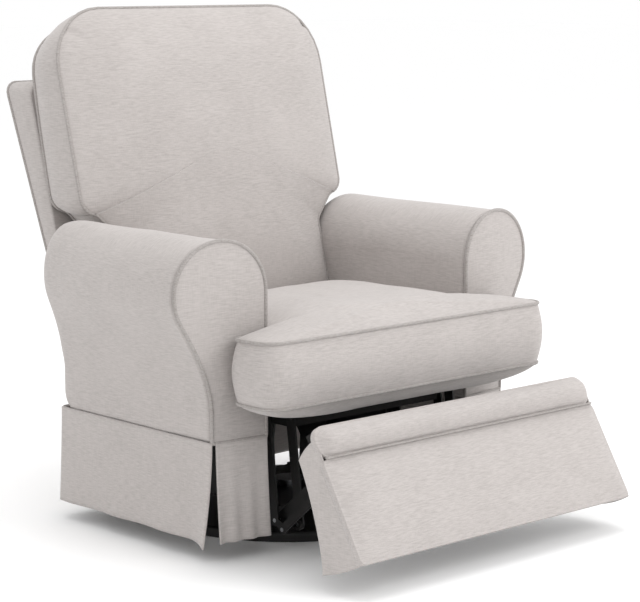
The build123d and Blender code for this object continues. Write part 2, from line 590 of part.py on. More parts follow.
def footrest_mechanism():
    step = SHEET + MECH_GAP
    crank_x, arm_x, front_x = MECH_INNER + step, MECH_INNER - step, MECH_INNER - step - SHEET - 1
    stay_x = MECH_INNER + 2 * step

    top = RAIL_TOP + 2
    plate_front = FRONT_CRANK[0] - MECH_BAR - 3
    plate_foot = CRANK_Z - MECH_BAR - 3
    plate = polygon([(plate_front, top), (plate_front, plate_foot),
                     (CRANK_Y + 90, plate_foot), (CRANK_Y + 90, top)])
    for p in (FRONT_CRANK, REAR_CRANK):
        plate -= dot(p, MECH_PIN)
    pair("mechanism_plates", side_plate(plate, MECH_INNER, SHEET))
    spacer_z = RAIL_TOP - 18
    spacers = []
    for y in (CRANK_Y + 20, CRANK_Y + 70):
        spacers += with_mirror(cross_pin(7, SIDE_RAIL + RAIL, MECH_INNER, y, spacer_z))
    save("mechanism_spacers", group(spacers))

    rear_pin = cross_pin(MECH_PIN, MECH_INNER, crank_x + SHEET + 1, *REAR_CRANK)
    front_pin = cross_pin(MECH_PIN, front_x - 1, MECH_INNER + SHEET, *FRONT_CRANK)
    save("crank_pins", group(with_mirror(rear_pin) + with_mirror(front_pin)))

    rear = bar(REAR_CRANK, ARM_REAR_PIN, MECH_BAR) + bar(ARM_REAR_PIN, STAY_REAR_PIN, MECH_BAR - 3)
    rear = link_with_bores(rear, [REAR_CRANK]) - dot(ARM_REAR_PIN, MECH_PIN) - dot(STAY_REAR_PIN, MECH_PIN)
    pair("rear_cranks", side_plate(rear, crank_x, SHEET))
    elbow = cross_pin(MECH_PIN, arm_x - 0.5, crank_x + SHEET, *ARM_REAR_PIN)
    stay_pin = cross_pin(MECH_PIN, crank_x, stay_x + SHEET + 0.5, *STAY_REAR_PIN)
    save("crank_elbow_pins", group(with_mirror(elbow) + with_mirror(stay_pin)))

    front = link_with_bores(bar(FRONT_CRANK, ARM_FRONT_PIN, MECH_BAR), [FRONT_CRANK, ARM_FRONT_PIN])
    pair("front_cranks", side_plate(front, front_x, SHEET))

    gusset_share = 0.35
    along = tuple(a + (b - a) * gusset_share for a, b in zip(ARM_REAR_PIN, FOOT_PIVOT))
    arm = bar(ARM_REAR_PIN, FOOT_PIVOT, MECH_BAR) + bar(ARM_REAR_PIN, ARM_FRONT_PIN, MECH_BAR)
    arm += polygon([ARM_REAR_PIN, ARM_FRONT_PIN, along])
    arm = link_with_bores(arm, [ARM_REAR_PIN]) - dot(ARM_FRONT_PIN, MECH_PIN) - dot(FOOT_PIVOT, MECH_PIN)
    pair("footrest_arms", side_plate(arm, arm_x, SHEET))
    tie_pin = cross_pin(MECH_PIN, front_x - 0.5, arm_x + SHEET, *ARM_FRONT_PIN)
    pivot_pin = cross_pin(MECH_PIN, arm_x, MECH_INNER + SHEET + 0.5, *FOOT_PIVOT)
    save("footrest_arm_pins", group(with_mirror(tie_pin) + with_mirror(pivot_pin)))

    stay = link_with_bores(bar(STAY_REAR_PIN, STAY_PIVOT, MECH_BAR - 3), [STAY_REAR_PIN, STAY_PIVOT])
    pair("footrest_stays", side_plate(stay, stay_x, SHEET))

    tie_y, tie_z = (a + (b - a) * 0.62 for a, b in zip(ARM_REAR_PIN, FOOT_PIVOT))
    save("footrest_tie_rod", cross_pin(6, -arm_x, arm_x, tie_y, tie_z))

    back_of_board = FOOT_PAD + FOOT_BOARD
    ear = bar(FOOT_PIVOT, STAY_PIVOT, MECH_BAR)
    ear += polygon([foot_point(back_of_board, -FOOT_PIVOT_RISE - 12),
                    foot_point(FOOT_PIVOT_DEPTH, -FOOT_PIVOT_RISE - 8),
                    foot_point(FOOT_PIVOT_DEPTH, 10), foot_point(back_of_board, 70)])
    ear -= polygon([foot_point(-20, -90), foot_point(back_of_board, -90), foot_point(back_of_board, 130),
                    foot_point(-20, 130)])
    ear = link_with_bores(ear, [FOOT_PIVOT]) - dot(STAY_PIVOT, MECH_PIN)
    bracket = side_plate(ear, MECH_INNER, SHEET)
    flange_width = 26.0
    bracket += foot_slab(back_of_board, back_of_board + 3, -FOOT_PIVOT_RISE - 12, 70,
                         MECH_INNER - flange_width, MECH_INNER)
    # the flange stops short of the arm and the front crank beside the pivot
    bracket -= foot_slab(back_of_board - 5, FOOT_PIVOT_DEPTH + 30, -90, 25, 0, MECH_INNER - AIR / 2)
    pair("footrest_brackets", bracket)
    stay_pin = cross_pin(MECH_PIN, MECH_INNER, stay_x + SHEET + 0.5, *STAY_PIVOT)
    save("footrest_stay_pins", group(with_mirror(stay_pin)))


def footrest():
    margin = 8.0
    pad = foot_slab(0, FOOT_PAD, -FOOT_ABOVE, FOOT_BELOW, -FOOT_REACH, FOOT_REACH)
    save("footrest_pad", pad)
    half = FOOT_REACH - CLOTH - AIR
    board = foot_slab(FOOT_PAD, FOOT_PAD + FOOT_BOARD, -FOOT_ABOVE + margin, FOOT_BELOW - 3 * margin,
                      -half, half)
    save("footrest_board", board)
    side = polygon([foot_point(FOOT_PAD, -FOOT_ABOVE + 2), foot_point(FLAP_TOP, -FOOT_ABOVE + 16),
                    foot_point(FLAP_TOP + 8, 60), foot_point(FLAP_FOOT, FOOT_BELOW - 4),
                    foot_point(FOOT_PAD, FOOT_BELOW)])
    pair("footrest_flaps", side_plate(side, FOOT_REACH - CLOTH, CLOTH))


# ---------------------------------------------------------------- release lever on the right arm
def release():
    """A paddle on the inner face of the sitter's right arm."""
    face = -ARM_INNER
    plate = 3.0
    bezel = Pos(face + plate / 2, LEVER_Y - 18, LEVER_Z) * Rot(0, 90, 0) * Box(34, 84, plate)
    bezel = fillet(bezel.edges().filter_by(Axis.X), 14)
    bezel += cross_pin(3, face + plate, face + plate + 9, LEVER_Y, LEVER_Z)
    save("release_bezel", bezel)
    x0, x1 = face + plate + 1, face + plate + 9
    paddle = side_plate(bar((LEVER_Y, LEVER_Z), (LEVER_Y - LEVER_LENGTH + 16, LEVER_Z), 8), x0, x1 - x0)
    paddle = fillet(paddle.edges().group_by(Axis.X)[-1], 2.5)
    spindle = 3.0
    save("release_lever", paddle - cross_pin(spindle + RUNNING, x0, x1, LEVER_Y, LEVER_Z))


base()
turntable()
glide_links()
carriage_rails()
seat_box()
hinge_plates()
arms()
skirts()
seat_cushion()
back_cushion()
framed_back()
footrest_mechanism()
footrest()
release()
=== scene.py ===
"""A skirted swivel glider chair with rolled arms, boxed cushions and a fold-out footrest."""
import json
from math import cos, pi, radians, sin, tan

import bmesh
import bpy
import numpy as np
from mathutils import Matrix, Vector


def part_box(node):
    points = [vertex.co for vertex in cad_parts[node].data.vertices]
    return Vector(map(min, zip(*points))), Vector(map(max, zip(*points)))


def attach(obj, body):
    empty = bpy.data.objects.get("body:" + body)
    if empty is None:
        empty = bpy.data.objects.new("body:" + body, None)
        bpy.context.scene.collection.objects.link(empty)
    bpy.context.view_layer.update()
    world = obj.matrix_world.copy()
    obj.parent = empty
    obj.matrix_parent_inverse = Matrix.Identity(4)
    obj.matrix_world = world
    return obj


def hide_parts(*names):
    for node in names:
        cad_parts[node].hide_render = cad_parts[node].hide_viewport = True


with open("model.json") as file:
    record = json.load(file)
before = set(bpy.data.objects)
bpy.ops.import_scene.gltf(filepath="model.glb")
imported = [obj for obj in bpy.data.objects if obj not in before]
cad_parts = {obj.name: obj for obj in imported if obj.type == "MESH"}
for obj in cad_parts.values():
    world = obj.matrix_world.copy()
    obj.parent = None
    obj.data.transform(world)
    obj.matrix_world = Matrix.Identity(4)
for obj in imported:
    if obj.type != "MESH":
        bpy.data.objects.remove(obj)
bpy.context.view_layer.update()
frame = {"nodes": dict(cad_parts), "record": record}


# ---------------------------------------------------------------- upholstery cloth
# A warm grey linen-look polyester: plain weave with thick slubs that run across the chair.
# The same cloth covers every cushion, arm and skirt, and the piping is cut from it. The piping's colours are
# darker, as painted shade along the seams.
def linear(hex_colour):
    """sRGB hex to linear RGBA: c/12.92 below 0.04045, else ((c + 0.055)/1.055)^2.4."""
    c = np.array([int(hex_colour[i:i + 2], 16) for i in (1, 3, 5)]) / 255
    c = np.where(c <= 0.04045, c / 12.92, ((c + 0.055) / 1.055) ** 2.4)
    return (*c.tolist(), 1.0)


def node(tree, kind, settings=None, **links):
    """Adds a node, sets properties and socket values, and links sockets named in links."""
    n = tree.nodes.new(kind)
    for key, value in (settings or {}).items():
        if isinstance(key, str) and hasattr(n, key):
            setattr(n, key, value)
        else:
            n.inputs[key].default_value = value
    for key, source in links.items():
        target = int(key[1:]) if key[0] == "i" and key[1:].isdigit() else key.replace("_", " ")
        tree.links.new(source, n.inputs[target])
    return n


def material(name):
    """A new material, with its node tree and its shader."""
    m = bpy.data.materials.new(name)
    m.use_nodes = True
    return m, m.node_tree, m.node_tree.nodes["Principled BSDF"]


def woven(name, light, dark, slub_height=0.0012, slub_length=0.017):
    """Linen-look cloth: slubs slub_height thick and slub_length long, on threads of 1.1 mm.

    Real threads are finer than that, and are drawn this coarse so that they show. The shade is the
    slubs, plus 0.45 of the threads, plus 0.25 of soft clouds about 11 cm across. A high roughness and
    a little sheen give the dry, matt look of woven polyester.
    """
    m, t, bsdf = material(name)
    place = node(t, "ShaderNodeTexCoord").outputs["Object"]
    normal = node(t, "ShaderNodeNewGeometry").outputs["Normal"]
    split = node(t, "ShaderNodeSeparateXYZ", i0=normal)
    up = node(t, "ShaderNodeMath", {"operation": "ABSOLUTE"}, i0=split.outputs["Z"])
    flat = node(t, "ShaderNodeMapRange", {"From Min": 0.6, "From Max": 0.8}, Value=up.outputs[0])

    def noise(scale, detail=2.0):
        """Noise stretched by scale, in cycles per metre along each axis."""
        mapped = node(t, "ShaderNodeMapping", {"Scale": scale}, Vector=place)
        return node(t, "ShaderNodeTexNoise", {"Scale": 1.0, "Detail": detail}, Vector=mapped.outputs[0])

    def pick(upright, lying):
        """The upright pattern on walls and the lying one on level faces."""
        mix = node(t, "ShaderNodeMix", {"data_type": "FLOAT"})
        t.links.new(flat.outputs[0], mix.inputs[0])
        t.links.new(upright.outputs[0], mix.inputs[2])
        t.links.new(lying.outputs[0], mix.inputs[3])
        return mix.outputs[0]

    across, along, thread = 1 / slub_length, 1 / slub_height, 1 / 0.0011
    slub = pick(noise((across, across, along)), noise((across, along, across)))
    warp = pick(noise((thread, thread, across)), noise((thread, across, across)))
    cloud = noise((9, 9, 9), 3.0).outputs[0]
    threads = node(t, "ShaderNodeMath", {"operation": "MULTIPLY_ADD", 1: 0.45}, i0=warp, i2=slub)
    shade = node(t, "ShaderNodeMath", {"operation": "MULTIPLY_ADD", 1: 0.25}, i0=cloud, i2=threads.outputs[0])
    ramp = node(t, "ShaderNodeValToRGB", i0=shade.outputs[0])
    ramp.color_ramp.elements[0].position = 0.55
    ramp.color_ramp.elements[0].color = linear(dark)
    ramp.color_ramp.elements[1].position = 1.0
    ramp.color_ramp.elements[1].color = linear(light)
    bump = node(t, "ShaderNodeBump", {"Strength": 0.35, "Distance": 0.0006}, Height=threads.outputs[0])
    t.links.new(ramp.outputs[0], bsdf.inputs["Base Color"])
    t.links.new(bump.outputs[0], bsdf.inputs["Normal"])
    bsdf.inputs["Roughness"].default_value = 0.92
    bsdf.inputs["Sheen Weight"].default_value = 0.25
    bsdf.inputs["Sheen Roughness"].default_value = 0.5
    bsdf.inputs["Specular IOR Level"].default_value = 0.2
    return m


linen = woven("linen_weave_grey", "#B9B3B0", "#A49E9B")
# The piping's two colours are painted shade: the linen's colours darkened to stand for the shade along each
# piped seam.
piping_cloth_painted_shade = woven("linen_piping_painted_shade", "#A8A3A0", "#8A8480", 0.0012, 0.006)


def finish_piece(name, verts, faces, mat, body):
    """A mesh object in its place, with its material, riding on a body."""
    mesh = bpy.data.meshes.new(name)
    mesh.from_pydata(np.asarray(verts, float).tolist(), [], faces)
    mesh.update()
    mesh.polygons.foreach_set("use_smooth", np.ones(len(mesh.polygons), bool))
    mesh.materials.append(mat)
    obj = bpy.data.objects.new(name, mesh)
    bpy.context.scene.collection.objects.link(obj)
    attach(obj, body)
    return obj


def skin(name, rings, mat, body, capped=True):
    """A closed surface through rings[k, i] (k along, i round), with a point closing each end."""
    k, n, _ = rings.shape
    i = np.arange(n)
    a = (np.arange(k - 1)[:, None] * n + i).ravel()
    b = (np.arange(k - 1)[:, None] * n + (i + 1) % n).ravel()
    faces = np.c_[a, b, b + n, a + n].tolist()
    verts = rings.reshape(-1, 3)
    if capped:
        verts = np.vstack([verts, rings[0].mean(0), rings[-1].mean(0)])
        last = (k - 1) * n
        faces += np.c_[(i + 1) % n, i, np.full(n, k * n)].tolist()
        faces += np.c_[last + i, last + (i + 1) % n, np.full(n, k * n + 1)].tolist()
    obj = finish_piece(name, verts, faces, mat, body)
    outward(obj)
    return obj


def outward(obj):
    """Turns a closed mesh's faces outwards, by the sign of its volume."""
    b = bmesh.new()
    b.from_mesh(obj.data)
    bmesh.ops.recalc_face_normals(b, faces=b.faces)
    b.to_mesh(obj.data)
    b.free()


def piping(name, path, radius, normal, mat, body, closed=True):
    """A cord of cloth of that radius along path: p + r (cos a n + sin a (t x n)), n near normal."""
    ahead, behind = np.roll(path, -1, 0), np.roll(path, 1, 0)
    t = ahead - behind if closed else np.gradient(path, axis=0)
    t /= np.linalg.norm(t, axis=1, keepdims=True)
    n = np.asarray(normal, float) - (t @ np.asarray(normal, float))[:, None] * t
    n /= np.linalg.norm(n, axis=1, keepdims=True)
    side = np.cross(t, n)
    a = np.linspace(0, 2 * pi, 10, endpoint=False)
    rings = path[:, None] + radius * (np.cos(a)[:, None] * n[:, None] + np.sin(a)[:, None] * side[:, None])
    if closed:
        rings = np.concatenate([rings, rings[:1]])
    return skin(name, rings, mat, body, capped=not closed)


def rounded(corners, radii, step=0.008):
    """A closed outline through corners, each rounded by its radius with an arc, points step apart."""
    out = []
    c = np.array(corners, float)
    for i, r in enumerate(radii):
        p, q, s = c[i - 1], c[i], c[(i + 1) % len(c)]
        u, v = (p - q) / np.linalg.norm(p - q), (s - q) / np.linalg.norm(s - q)
        half = np.arccos(np.clip(u @ v, -1, 1)) / 2
        reach = r / tan(half)
        middle = q + (u + v) / np.linalg.norm(u + v) * r / sin(half)
        a, b = q + u * reach - middle, q + v * reach - middle
        w = np.linspace(0, 1, 9)[:, None]
        turn = np.arccos(np.clip(a @ b / r ** 2, -1, 1))
        out.append(middle + (np.sin((1 - w) * turn) * a + np.sin(w * turn) * b) / sin(turn))
    loop = np.vstack(out)
    loop = np.vstack([loop, loop[:1]])
    s = np.r_[0, np.cumsum(np.linalg.norm(np.diff(loop, axis=0), axis=1))]
    at = np.linspace(0, s[-1], int(s[-1] / step), endpoint=False)
    return np.c_[np.interp(at, s, loop[:, 0]), np.interp(at, s, loop[:, 1])]


def depth_inside(points, loop, blend=0.004):
    """Distance from each point to the outline, as the softened least distance to its points."""
    d = np.linalg.norm(points[..., None, :] - loop[None, None], axis=-1)
    return np.maximum(d.min(-1) - blend, 0)


def crown(depth, reach):
    """0 at the seam to 1 from reach inwards: 1 - (1 - d/reach)^2.6."""
    return 1 - (1 - np.clip(depth / reach, 0, 1)) ** 2.6


def relaxed(field, times=70):
    """Evens out creases where the nearest edge changes: each value becomes its neighbours' mean."""
    field = field.copy()
    for _ in range(times):
        round_mean = (np.roll(field, 1, 1) + np.roll(field, -1, 1)) / 2
        along_mean = (field[:-2] + field[2:]) / 2
        field[1:-1] = (round_mean[1:-1] + along_mean) / 2
        field[0] = field[1].mean()
    return field


def outward_normals(loop):
    """Unit normals of a closed outline, pointing out of it."""
    t = np.roll(loop, -1, 0) - np.roll(loop, 1, 0)
    n = np.c_[t[:, 1], -t[:, 0]]
    n /= np.linalg.norm(n, axis=1, keepdims=True)
    area = np.sum(loop[:, 0] * np.roll(loop[:, 1], -1) - loop[:, 1] * np.roll(loop[:, 0], -1))
    return n if area > 0 else -n


def wrinkle(points, size, seed):
    """Soft unevenness, from -1 to 1: a sum of sines in random directions of about that wavelength."""
    r = np.random.default_rng(seed)
    k = r.normal(size=(9, 3)) * 2 * pi / size / 1.7
    phase = r.uniform(0, 2 * pi, 9)
    return np.sin(points @ k.T + phase).mean(-1) * 1.6


def tucks(points):
    """Gathers at the upper corners of a leaning panel, 5 mm deep: narrow creases that run to the seam.

    The depth is the product of two bell curves, one across the crease and one along it. A panel that
    stays below 0.8 m has none.
    """
    if points[..., 2].max() < 0.8:
        return np.zeros((*points.shape[:-1], 1))
    corner_x, corner_z, turn = 0.300, 0.945, radians(38)
    dx, dz = np.abs(points[..., 0]) - corner_x, points[..., 2] - corner_z
    inward = -(dx * cos(turn) + dz * sin(turn))
    sideways = -dx * sin(turn) + dz * cos(turn)
    crease = np.exp(-(sideways / 0.007) ** 2) * np.exp(-(np.clip(inward, 0, 1) / 0.030) ** 2)
    return 0.005 * (crease * (inward > -0.03))[..., None]


def boxed_cushion(name, loop, centre, face, back, bulge, body, crowns, reaches, seed):
    """Two crowned panels and a boxing band between them, on a star-shaped outline about centre.

    face and back turn (x, y) of the outline into 3-D points on the two seams, and crowns are how far
    each panel swells beyond its seam. The band swells by bulge halfway between the seams.
    """
    share = (1 - (1 - np.linspace(0.02, 1, 34)) ** 1.6)[:, None, None]
    spread = centre + (loop - centre) * share
    d = depth_inside(spread, loop)
    front, rear = face(spread), back(spread)
    across = front - rear
    across /= np.linalg.norm(across, axis=-1, keepdims=True)
    swell, under = (relaxed(crown(d, reach))[..., None] for reach in reaches)
    uneven = wrinkle(front, 0.16, seed)[..., None] * 0.0022 * swell
    front = front + across * (swell * crowns[0] + uneven - tucks(front))
    rear = rear - across * under * crowns[1]
    n = outward_normals(loop)
    w = np.linspace(0, 1, 14)[1:-1, None, None]
    widened = loop[None] + n[None] * (bulge * np.sin(pi * w))
    band = face(widened) * (1 - w) + back(widened) * w
    band += wrinkle(band, 0.12, seed + 1)[..., None] * 0.0012
    rings = np.concatenate([front, band, rear[::-1]])
    cushion = skin(name, rings, linen, body)
    way = across[-1].mean(0)
    for part, seam in (("face", face), ("back", back)):
        path = seam(loop + n * 0.001)
        cord = piping(f"{name}_piping_{part}", path, 0.0032, way, piping_cloth_painted_shade, body)
    return cushion


# ---------------------------------------------------------------- seat cushion
# A loose T-shaped foam cushion with a crowned top, a boxing band and self-cloth piping on both seams.
# It lies on the springs between the arms, and its ears come round in front of them.
low, high = (np.array(v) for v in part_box("seat_cushion"))
arm_low, arm_high = (np.array(v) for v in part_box("arm_cover_left"))
arm_inner = arm_low[0]
arm_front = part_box("arm_facing_left")[0][1]
stem = arm_inner - 0.003
ear = high[0] + 0.005
seat_outline = rounded([(-ear, low[1]), (ear, low[1]), (ear, arm_front - 0.008),
                        (stem, arm_front - 0.008), (stem, high[1]), (-stem, high[1]),
                        (-stem, arm_front - 0.008), (-ear, arm_front - 0.008)],
                       [0.036, 0.036, 0.03, 0.012, 0.05, 0.05, 0.012, 0.03])
top_seam, foot_seam = low[2] + 0.142, low[2] + 0.022


def seat_top(p):
    """The upper seam drops 18 mm from front to back."""
    slope = (p[..., 1] - low[1]) / (high[1] - low[1])
    return np.stack([p[..., 0], p[..., 1], top_seam - 0.018 * slope + 0 * p[..., 0]], -1)


def seat_foot(p):
    """The lower seam is level."""
    return np.stack([p[..., 0], p[..., 1], np.full(p.shape[:-1], foot_seam)], -1)


seat = boxed_cushion("seat_cushion_cover", seat_outline, np.array([0, -0.30]), seat_top, seat_foot,
                     bulge=0.011, body="carriage", crowns=(0.046, 0.034), reaches=(0.17, 0.034),
                     seed=3)
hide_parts("seat_cushion")


# ---------------------------------------------------------------- back cushion
# A loose boxed cushion with rounded top corners, narrower where it drops between the arms.
# Its front leans with the back, and both its seams are piped in the same cloth.
low, high = (np.array(v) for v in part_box("back_cushion"))
wing_foot = arm_high[2] + 0.008
wide, top = high[0], high[2] - 0.006
shoulder_x, shoulder_z = arm_inner + 0.045, wing_foot - 0.052
back_outline = rounded([(-wide + 0.004, wing_foot), (-shoulder_x, wing_foot), (-stem, shoulder_z),
                        (-stem, low[2] + 0.03), (stem, low[2] + 0.03), (stem, shoulder_z),
                        (shoulder_x, wing_foot), (wide - 0.004, wing_foot), (wide, top), (-wide, top)],
                       [0.03, 0.02, 0.02, 0.03, 0.03, 0.02, 0.02, 0.03, 0.118, 0.118])
front_foot_y = low[1]
front_lean, cushion_lean = tan(radians(14.0)), tan(radians(11.4))
cushion_depth = 0.118
level = 0.610


def back_front(p):
    """The front seam leans back with height, 6 mm behind the cushion's face."""
    y = front_foot_y + (p[..., 1] - low[2]) * front_lean
    return np.stack([p[..., 0], y + 0.006, p[..., 1]], -1)


def back_rear(p):
    """The rear seam closes on the front one towards the top, and is lower behind the top edge."""
    drop = 0.040 * np.clip((p[..., 1] - 0.78) / 0.22, 0, 1) ** 1.5
    y = front_foot_y + (level - low[2]) * front_lean + cushion_depth + (p[..., 1] - level) * cushion_lean
    foot = front_foot_y + (p[..., 1] - low[2]) * front_lean + 0.112
    return np.stack([p[..., 0] * (1 - drop), np.minimum(y, foot + 0.004) - 0.010, p[..., 1] - drop], -1)


back = boxed_cushion("back_cushion_cover", back_outline, np.array([0, 0.72]), back_front, back_rear,
                     bulge=0.008, body="back", crowns=(0.048, 0.010), reaches=(0.20, 0.10),
                     seed=11)
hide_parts("back_cushion")


# ---------------------------------------------------------------- arms
# Cloth over padding on a wooden frame, pulled round a scroll and stapled under the front panel's edge.
# The front panel is a padded board, and piping runs round its edge.
roll = 0.097
seam_z = arm_low[2]
arm_top = arm_high[2]
outer_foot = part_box("skirt_fronts")[1][0] + 0.005
roll_x, roll_z = arm_inner + roll, arm_top - roll


def arm_outline():
    """Inner side up, over the roll, under it on a 30 degree slope, and down the outer side.

    The slope runs into the outer side on a quadratic curve, and 170 points lie evenly round the whole.
    """
    a = np.radians(np.linspace(180, -30, 60))
    arc = np.c_[roll_x + roll * np.cos(a), roll_z + roll * np.sin(a)]
    leave = arc[-1]
    corner = np.array([outer_foot, leave[1] - (leave[0] - outer_foot) / tan(radians(30))])
    w = np.linspace(0, 1, 24)[:, None]
    before, after = corner + (leave - corner) * 0.75, corner - np.array([0, 0.06])
    knee = before * (1 - w) ** 2 + corner * 2 * w * (1 - w) + after * w ** 2
    loop = np.vstack([[arm_inner, seam_z], [arm_inner, roll_z], arc, knee,
                      [outer_foot, seam_z], [arm_inner, seam_z]])
    s = np.r_[0, np.cumsum(np.linalg.norm(np.diff(loop, axis=0), axis=1))]
    at = np.linspace(0, s[-1], 170, endpoint=False)
    return np.c_[np.interp(at, s, loop[:, 0]), np.interp(at, s, loop[:, 1])]


arm_rear = arm_high[1]
toe = tan(radians(7.0))
facing = 0.012
rear_round = 0.045
centre = np.array([(arm_inner + outer_foot) / 2, roll_z - 0.05])
outline = arm_outline()


def arm_rings(depths, shrink, side):
    """The outline at each depth behind the toed front, drawn in by shrink towards its centre.

    The roll overhangs less towards the rear: it narrows by up to 36 mm over the rear half.
    """
    t = np.clip(depths / (arm_rear - arm_front), 0, 1)[:, None]
    pulled = centre + (outline - centre) * (1 - shrink[:, None, None])
    overhang = np.clip((pulled[..., 0] - outer_foot) / 0.09, 0, 1)
    slim = overhang * 0.036 * np.clip((t - 0.45) / 0.55, 0, 1) ** 1.5
    x = pulled[..., 0] - slim
    y = arm_front + depths[:, None] + (x - arm_inner) * toe * (1 - t)
    return np.stack([x * side, y, np.maximum(pulled[..., 1], seam_z)], -1)


for side, word in ((1, "left"), (-1, "right")):
    length = arm_rear - arm_front
    straight = np.linspace(facing, length - rear_round, 40)
    turn = np.linspace(0, pi / 2, 12)[1:]
    rounding = length - rear_round + (rear_round - 0.002) * np.sin(turn)
    depths = np.r_[facing, straight, rounding, np.full(6, length - 0.002)]
    shrink = np.r_[0.04, np.zeros(40), 0.22 * (1 - np.cos(turn)), np.linspace(0.32, 0.98, 6)]
    rings = arm_rings(depths, shrink, side)
    rings += wrinkle(rings, 0.14, 21 + side)[..., None] * np.array([0.0012, 0, 0.0012])
    cover = skin(f"arm_cover_cloth_{word}", rings, linen, "carriage")
    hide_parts(f"arm_cover_{word}")

    across = np.r_[np.linspace(0.98, 0.02, 20), 0.0, 0.0]
    swell = 0.004 * (1 - (1 - across) ** 3)
    depth = np.r_[0.003 - swell[:20] + 0.002, 0.002, facing - 0.001]
    face_rings = arm_rings(depth, across, side)
    panel = skin(f"arm_front_panel_{word}", face_rings, linen, "carriage")
    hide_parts(f"arm_facing_{word}")
    edge = arm_rings(np.array([0.005]), np.array([-0.004]), side)[0]
    cord = piping(f"arm_piping_{word}", edge, 0.0036, (0, 1, 0), piping_cloth_painted_shade, "carriage")


# ---------------------------------------------------------------- outside back
# The framed back behind the loose cushion: cloth pulled over posts and rails, with a flat rear panel.
# The hinge brackets come out at its foot.
low, high = (np.array(v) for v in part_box("outside_back"))
frame_lean, rear_lean = tan(radians(16.0)), tan(radians(22.0))
rear_top_y = high[1]
half, narrow = high[0], arm_inner - 0.024
wing_z = 0.470
frame_outline = rounded([(-half, wing_z), (-narrow, wing_z), (-narrow, low[2]), (narrow, low[2]),
                         (narrow, wing_z), (half, wing_z), (half, high[2]), (-half, high[2])],
                        [0.02, 0.01, 0.012, 0.012, 0.01, 0.02, 0.024, 0.024])


def frame_rear(p):
    """The rear face, which leans back from its top edge."""
    return np.stack([p[..., 0], rear_top_y - (high[2] - p[..., 1]) * rear_lean, p[..., 1]], -1)


def frame_face(p):
    """The front face, 1 mm behind the cushion at the level line, leaning less than the rear face."""
    y = front_foot_y + (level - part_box("back_cushion")[0][2]) * front_lean + cushion_depth + 0.002
    return np.stack([p[..., 0], y + (p[..., 1] - level) * frame_lean, p[..., 1]], -1)


share = (1 - (1 - np.linspace(0.02, 1, 24)) ** 1.6)[:, None, None]
middle = np.array([0, 0.62])
spread = middle + (frame_outline - middle) * share
d = depth_inside(spread, frame_outline)
swell = crown(d, 0.05)[..., None] * np.array([0, 1, 0])
w = np.linspace(0, 1, 10)[1:-1, None, None]
n = outward_normals(frame_outline)
wider = frame_outline[None] + n[None] * 0.003 * np.sin(pi * w)
sides = frame_face(wider) * (1 - w) + frame_rear(wider) * w
front, rear = frame_face(spread) + 0.002 * swell, frame_rear(spread) + 0.004 * swell
rings = np.concatenate([front, sides, rear[::-1]])
shell = skin("outside_back_cloth", rings, linen, "back")
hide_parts("outside_back")
cord = piping("outside_back_piping", frame_rear(frame_outline), 0.0032, (0, 1, 0), piping_cloth_painted_shade, "back")


# ---------------------------------------------------------------- skirt
# Lined cloth panels sewn under the arms and rear, hanging free to a hem, with a kick pleat at each corner.
# The hem swings slightly outwards and ripples a little.
def sheet_faces(rows, columns):
    """The quads of an open grid of points, row after row."""
    a = (np.arange(rows - 1)[:, None] * columns + np.arange(columns - 1)).ravel()
    return np.c_[a, a + 1, a + 1 + columns, a + columns].tolist()


def lined(obj):
    """Gives a sheet the 3 mm thickness of cloth with its lining, half to each side."""
    thick = obj.modifiers.new("lining", "SOLIDIFY")
    thick.thickness = 0.003
    thick.offset = 0


def hanging(name, head, out, hem_z, flare, ripple, seed, drop_end=0.0):
    """A panel down from the path head: out * flare * t^1.5, with ripples that grow down it.

    drop_end is how far the last 14 percent of its length swings out at the hem, and it hangs half that lower.
    """
    count = len(head)
    t = np.linspace(0, 1, 30)[:, None]
    s = np.linspace(0, 1, count)
    fall = (head[:, 2] - hem_z)[None] * t
    wave = ripple * np.sin(2 * pi * (s * 3.1 + seed * 0.37)) * t ** 1.5
    swing = drop_end * t ** 2 * np.clip((s - 0.86) / 0.14, 0, 1) ** 2
    push = flare * t ** 1.5 + wave + swing
    p = np.repeat(head[None], 30, 0) + push[..., None] * np.asarray(out)
    p[..., 2] = head[:, 2] - fall - 0.5 * swing
    obj = finish_piece(name, p.reshape(-1, 3), sheet_faces(30, count), linen, "carriage")
    lined(obj)
    return obj


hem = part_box("skirt_rear")[0][2]
side_low, side_high = (np.array(v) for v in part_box("skirt_side_left"))
for side, word in ((1, "left"), (-1, "right")):
    s = np.linspace(0, 1, 90)
    y = side_high[1] + (side_low[1] - 0.004 - side_high[1]) * s
    run = np.stack([np.full(90, (outer_foot + 0.002) * side), y, np.full(90, seam_z + 0.001)], -1)
    panel = hanging(f"skirt_side_cloth_{word}", run, (side, 0, 0), hem, 0.008, 0.0022, 1 + side, 0.014)
    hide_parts(f"skirt_side_{word}")
for side, word in ((1, "left"), (-1, "right")):
    s = np.linspace(0, 1, 50)
    x = arm_inner + (outer_foot - 0.006 - arm_inner) * s
    run = np.stack([x * side, arm_front + 0.003 + (x - arm_inner) * toe, np.full(50, seam_z + 0.001)], -1)
    hanging(f"skirt_front_cloth_{word}", run, (0, -1, 0), hem, 0.008, 0.003, 4 + side)
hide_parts("skirt_fronts")
s = np.linspace(-1, 1, 120)
run = np.stack([(outer_foot - 0.006) * s, np.full(120, arm_rear - 0.002), np.full(120, seam_z + 0.001)], -1)
panel = hanging("skirt_rear_cloth", run, (0, 1, 0), hem, 0.008, 0.0022, 7)
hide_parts("skirt_rear")
apron_low, apron_high = (np.array(v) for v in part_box("rear_apron"))
apron_outline = rounded([(apron_low[0], apron_low[2]), (apron_high[0], apron_low[2]),
                         (apron_high[0], apron_high[2]), (apron_low[0], apron_high[2])], [0.004] * 4, 0.006)
share = np.linspace(0.02, 1, 12)[:, None, None]
middle = np.array([0, (apron_low[2] + apron_high[2]) / 2])
spread = middle + (apron_outline - middle) * share
